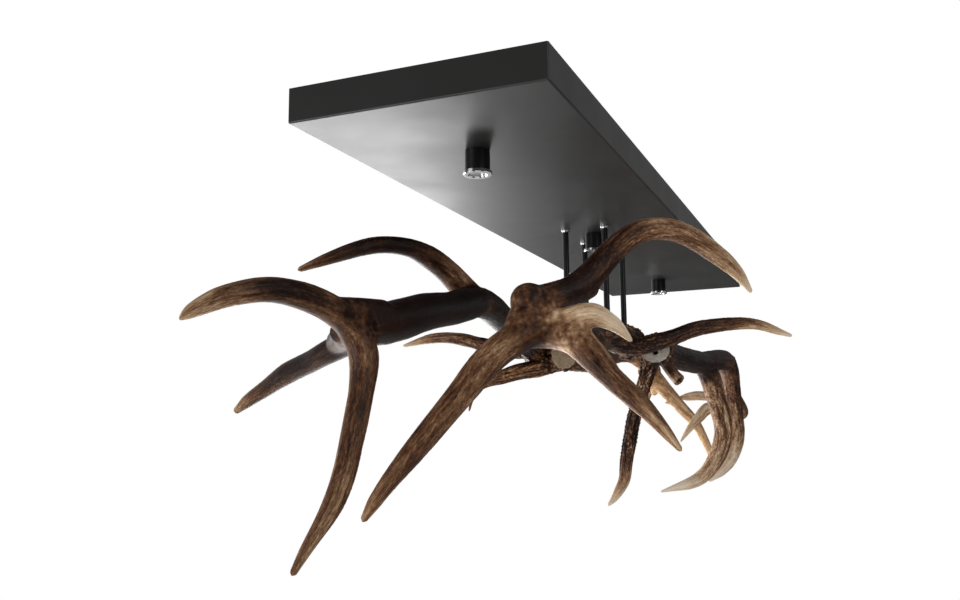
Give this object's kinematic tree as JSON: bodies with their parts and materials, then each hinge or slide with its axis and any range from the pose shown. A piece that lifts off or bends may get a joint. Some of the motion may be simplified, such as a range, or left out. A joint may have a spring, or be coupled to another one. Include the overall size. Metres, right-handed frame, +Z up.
{
  "type": "antler chandelier",
  "caption": "Long black ceiling pan with small downlights and deer antlers hung below it on slim black rods.",
  "frame": {"origin": "centre of the ceiling plane, in the middle of the four ceiling screw holes", "axes": "+Z up into the ceiling, +X along the pan from the end with the long dark crowns to the other, +Y across the pan"},
  "size_m": [1.5469, 0.6094, 0.5002],
  "materials": {
    "pan_paint": "satin black powder coat",
    "plated_steel": "zinc-plated",
    "rod_paint": "satin black",
    "collar_nickel": "nickel-plated",
    "brass": "plain",
    "hardwood": "plain dowel",
    "antler_dark": "weathered antler, dark brown beam with cream tips",
    "antler_grey": "weathered antler, grey-brown",
    "antler_gold": "polished antler, golden brown",
    "spot_paint": "satin black",
    "aluminium": "turned",
    "light_board": "white light board",
    "reflector": "bright",
    "lens_glass": "clear",
    "chrome": "polished",
    "grey_lead": "sheathed lead",
    "earth_lead": "green and yellow sleeve",
    "white_plastic": "moulded case",
    "terminal_plastic": "moulded"
  },
  "bodies": {
    "fitting": {"ceiling_pan": "pan_paint", "ceiling_bracket_near": "plated_steel", "shouldered_studs_near": "plated_steel", "pan_bridge_near": "plated_steel", "ceiling_bracket_far": "plated_steel", "shouldered_studs_far": "plated_steel", "pan_bridge_far": "plated_steel", "pan_lock_screw": "plated_steel", "load_plate": "plated_steel", "rod_washers": "plated_steel", "rod_nuts": "plated_steel", "rod_near_left": "rod_paint", "rod_collar_near_left": "collar_nickel", "rod_near_right": "rod_paint", "rod_collar_near_right": "collar_nickel", "rod_far_right": "rod_paint", "rod_collar_far_right": "collar_nickel", "rod_far_left": "rod_paint", "rod_collar_far_left": "collar_nickel", "rod_inserts": "brass", "cross_dowels": "hardwood", "antler_near_right": "antler_dark", "antler_near_left": "antler_dark", "antler_far_right": "antler_grey", "antler_far_left": "antler_gold", "spot_near_barrel": "spot_paint", "spot_near_heat_slug": "aluminium", "spot_near_led_board": "light_board", "spot_near_reflector": "reflector", "spot_near_nut": "plated_steel", "spot_near_lead": "grey_lead", "spot_middle_barrel": "spot_paint", "spot_middle_heat_slug": "aluminium", "spot_middle_led_board": "light_board", "spot_middle_reflector": "reflector", "spot_middle_nut": "plated_steel", "spot_middle_lead": "grey_lead", "spot_far_barrel": "spot_paint", "spot_far_heat_slug": "aluminium", "spot_far_led_board": "light_board", "spot_far_reflector": "reflector", "spot_far_nut": "plated_steel", "spot_far_lead": "grey_lead", "weld_studs": "plated_steel", "small_nuts": "plated_steel", "led_driver": "white_plastic", "terminal_block": "terminal_plastic", "terminal_screws": "brass", "earth_tag": "brass", "driver_mains_lead": "grey_lead", "earth_lead": "earth_lead"},
    "spot_near_lens": {"spot_near_glass": "lens_glass"},
    "spot_near_ring": {"spot_near_bezel": "chrome"},
    "spot_middle_lens": {"spot_middle_glass": "lens_glass"},
    "spot_middle_ring": {"spot_middle_bezel": "chrome"},
    "spot_far_lens": {"spot_far_glass": "lens_glass"},
    "spot_far_ring": {"spot_far_bezel": "chrome"}
  },
  "joints": [
    {"name": "spot_near_bezel_travel", "type": "slide", "parent": "fitting", "child": "spot_near_lens", "axis": [0, 0, -1], "range_m": [0, 0.005]},
    {"name": "spot_near_bezel_turn", "type": "hinge", "parent": "spot_near_lens", "child": "spot_near_ring", "pos_m": [-0.5, 0, -0.068], "axis": [0, 0, -1], "range_deg": [0, 1800]},
    {"name": "spot_middle_bezel_travel", "type": "slide", "parent": "fitting", "child": "spot_middle_lens", "axis": [0, 0, -1], "range_m": [0, 0.005]},
    {"name": "spot_middle_bezel_turn", "type": "hinge", "parent": "spot_middle_lens", "child": "spot_middle_ring", "pos_m": [0, 0, -0.068], "axis": [0, 0, -1], "range_deg": [0, 1800]},
    {"name": "spot_far_bezel_travel", "type": "slide", "parent": "fitting", "child": "spot_far_lens", "axis": [0, 0, -1], "range_m": [0, 0.005]},
    {"name": "spot_far_bezel_turn", "type": "hinge", "parent": "spot_far_lens", "child": "spot_far_ring", "pos_m": [0.5, 0, -0.068], "axis": [0, 0, -1], "range_deg": [0, 1800]}
  ],
  "couplings": [
    {"joint": "spot_near_bezel_travel", "follows": "spot_near_bezel_turn", "m_per_rad": 0.00015915},
    {"joint": "spot_middle_bezel_travel", "follows": "spot_middle_bezel_turn", "m_per_rad": 0.00015915},
    {"joint": "spot_far_bezel_travel", "follows": "spot_far_bezel_turn", "m_per_rad": 0.00015915}
  ]
}
